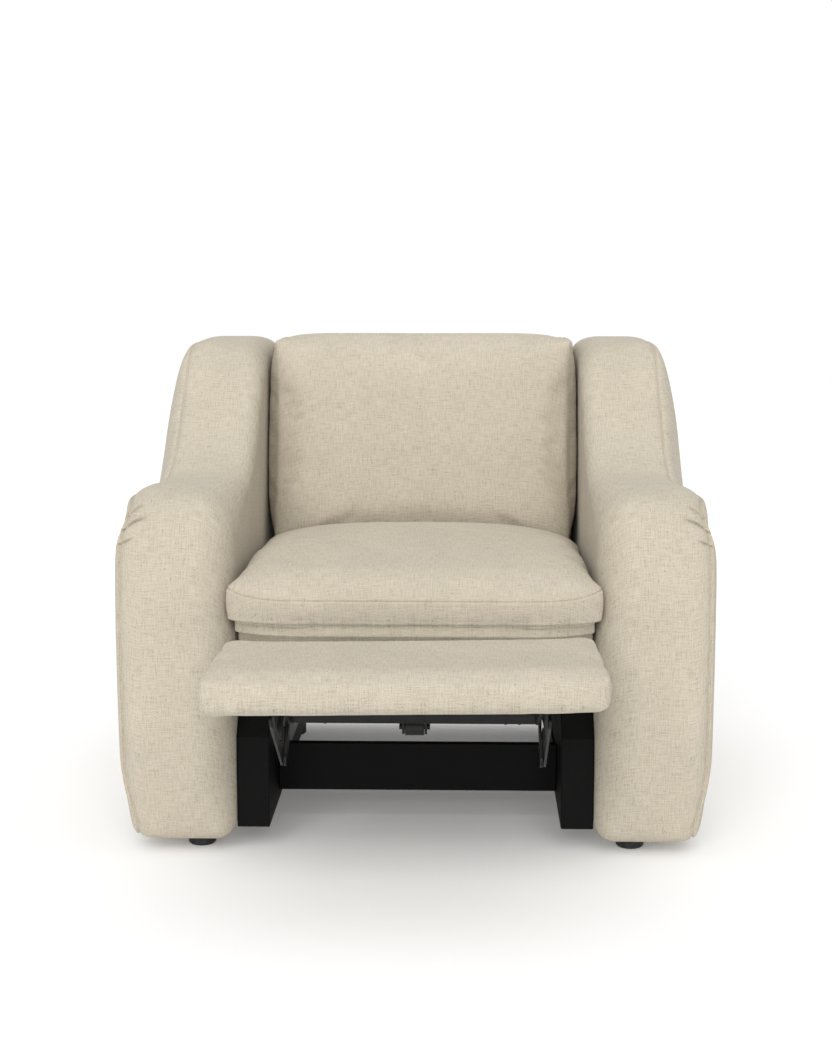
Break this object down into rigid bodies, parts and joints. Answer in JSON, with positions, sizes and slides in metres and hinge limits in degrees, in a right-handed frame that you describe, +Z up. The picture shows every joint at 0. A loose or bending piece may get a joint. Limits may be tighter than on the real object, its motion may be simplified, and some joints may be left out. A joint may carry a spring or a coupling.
{
  "type": "power recliner armchair",
  "caption": "Wide upholstered recliner armchair with sloping wing arms, loose-looking seat and back cushions and an open folding footrest.",
  "frame": {"origin": "centre of the bounding box on the floor, with the footrest open", "axes": "+X to the viewer's right facing the chair, -Y towards the sitter's feet (front), +Z up"},
  "size_m": [1.016, 1.335, 0.8641],
  "materials": {
    "linen": "matte woven oatmeal linen",
    "black_steel": "satin black powder coat",
    "black_rail": "matt black painted timber",
    "plywood": "raw plywood",
    "black_plastic": "matt black",
    "zinc": "zinc plated"
  },
  "bodies": {
    "base": {"arm_cover_l": "linen", "arm_cover_r": "linen", "arm_panel_l": "plywood", "arm_panel_r": "plywood", "arm_post_l": "plywood", "arm_post_r": "plywood", "foot_front_l": "black_plastic", "foot_front_r": "black_plastic", "foot_rear_l": "black_plastic", "foot_rear_r": "black_plastic", "base_rail_l": "black_rail", "base_rail_r": "black_rail", "base_plate_l": "black_steel", "base_plate_r": "black_steel", "front_stretcher": "black_rail", "rear_stretcher": "black_rail", "rear_skirt": "linen", "power_inlet": "black_plastic", "control_panel": "black_plastic"},
    "button_open": {"button_open": "zinc"},
    "button_close": {"button_close": "zinc"},
    "front_swing": {"swing_link_front_l": "black_steel", "swing_link_front_r": "black_steel"},
    "rear_swing": {"swing_link_rear_l": "black_steel", "swing_link_rear_r": "black_steel"},
    "carriage": {"side_plate_l": "black_steel", "side_plate_r": "black_steel", "seat_rail_l": "plywood", "seat_rail_r": "plywood", "seat_rail_front": "plywood", "seat_rail_rear": "plywood", "seat_deck": "plywood", "seat_cushion": "linen", "motor_crossbar": "black_steel"},
    "back": {"back_post_l": "plywood", "back_post_r": "plywood", "back_bracket_l": "black_steel", "back_bracket_r": "black_steel", "back_rail_top": "plywood", "back_rail_bottom": "black_steel", "back_cover": "linen", "back_cushion": "linen"},
    "drive": {"drive_link_l": "black_steel", "drive_link_r": "black_steel", "drive_tube": "black_steel"},
    "guide": {"guide_link_l": "black_steel", "guide_link_r": "black_steel"},
    "knee": {"knee_link_l": "black_steel", "knee_link_r": "black_steel"},
    "steer": {"steer_link_l": "black_steel", "steer_link_r": "black_steel"},
    "footrest": {"footrest_bracket_l": "black_steel", "footrest_bracket_r": "black_steel", "footrest_board": "plywood", "footrest_pad": "linen"},
    "footrest_rod": {"footrest_rod": "black_steel"},
    "footrest_motor": {"footrest_motor": "black_plastic"},
    "back_rod": {"back_rod": "zinc"},
    "back_motor": {"back_motor": "black_plastic"}
  },
  "joints": [
    {"name": "footrest", "type": "hinge", "parent": "carriage", "child": "drive", "pos_m": [0, -0.1575, 0.3], "axis": [1, 0, 0], "range_deg": [0, 67]},
    {"name": "guide_link", "type": "hinge", "parent": "carriage", "child": "guide", "pos_m": [0, -0.09763, 0.29604], "axis": [1, 0, 0], "range_deg": [0, 75.36]},
    {"name": "knee", "type": "hinge", "parent": "drive", "child": "knee", "pos_m": [0, -0.33248, 0.19319], "axis": [1, 0, 0], "range_deg": [-107.4, 0]},
    {"name": "footrest_pivot", "type": "hinge", "parent": "knee", "child": "footrest", "pos_m": [0, -0.49556, 0.297], "axis": [1, 0, 0], "range_deg": [0, 130.4]},
    {"name": "steer_link", "type": "hinge", "parent": "drive", "child": "steer", "pos_m": [0, -0.28649, 0.24962], "axis": [1, 0, 0], "range_deg": [-123.79, 0]},
    {"name": "footrest_crank_pin", "type": "hinge", "parent": "drive", "child": "footrest_rod", "pos_m": [0, -0.2325, 0.222], "axis": [1, 0, 0], "range_deg": [-63.51, 0]},
    {"name": "footrest_motor_stroke", "type": "slide", "parent": "footrest_rod", "child": "footrest_motor", "axis": [0, -0.9999, -0.016], "range_m": [0, 0.11643]},
    {"name": "back_recline", "type": "hinge", "parent": "carriage", "child": "back", "pos_m": [0, 0.3275, 0.33], "axis": [-1, 0, 0], "range_deg": [0, 30]},
    {"name": "back_crank_pin", "type": "hinge", "parent": "back", "child": "back_rod", "pos_m": [0, 0.4175, 0.28], "axis": [1, 0, 0], "range_deg": [0, 17.49]},
    {"name": "back_motor_stroke", "type": "slide", "parent": "back_rod", "child": "back_motor", "axis": [0, 0.9487, 0.3162], "range_m": [0, 0.04458]},
    {"name": "front_swing", "type": "hinge", "parent": "base", "child": "front_swing", "pos_m": [0, 0.0075, 0.11], "axis": [1, 0, 0], "range_deg": [0, 36.01]},
    {"name": "carriage_level", "type": "hinge", "parent": "front_swing", "child": "carriage", "pos_m": [0, 0.03377, 0.19084], "axis": [1, 0, 0], "range_deg": [-36.01, 0]},
    {"name": "rear_swing", "type": "hinge", "parent": "base", "child": "rear_swing", "pos_m": [0, 0.2975, 0.11], "axis": [1, 0, 0], "range_deg": [0, 36.01]},
    {"name": "press_open", "type": "slide", "parent": "base", "child": "button_open", "axis": [1, 0, 0], "range_m": [0, 0.0025], "stiffness_N_per_m": 400},
    {"name": "press_close", "type": "slide", "parent": "base", "child": "button_close", "axis": [1, 0, 0], "range_m": [0, 0.0025], "stiffness_N_per_m": 400}
  ],
  "couplings": [
    {"joint": "guide_link", "follows": "footrest", "ratio": 1.1247},
    {"joint": "knee", "follows": "footrest", "ratio": -1.6028},
    {"joint": "footrest_pivot", "follows": "footrest", "ratio": 1.9461},
    {"joint": "steer_link", "follows": "footrest", "ratio": -1.8474},
    {"joint": "footrest_crank_pin", "follows": "footrest", "ratio": -0.94783},
    {"joint": "footrest_motor_stroke", "follows": "footrest", "m_per_rad": 0.099559},
    {"joint": "back_crank_pin", "follows": "back_recline", "ratio": 0.58262},
    {"joint": "back_motor_stroke", "follows": "back_recline", "m_per_rad": 0.085117},
    {"joint": "front_swing", "follows": "back_recline", "ratio": 1.2},
    {"joint": "carriage_level", "follows": "back_recline", "ratio": -1.2},
    {"joint": "rear_swing", "follows": "back_recline", "ratio": 1.2}
  ]
}
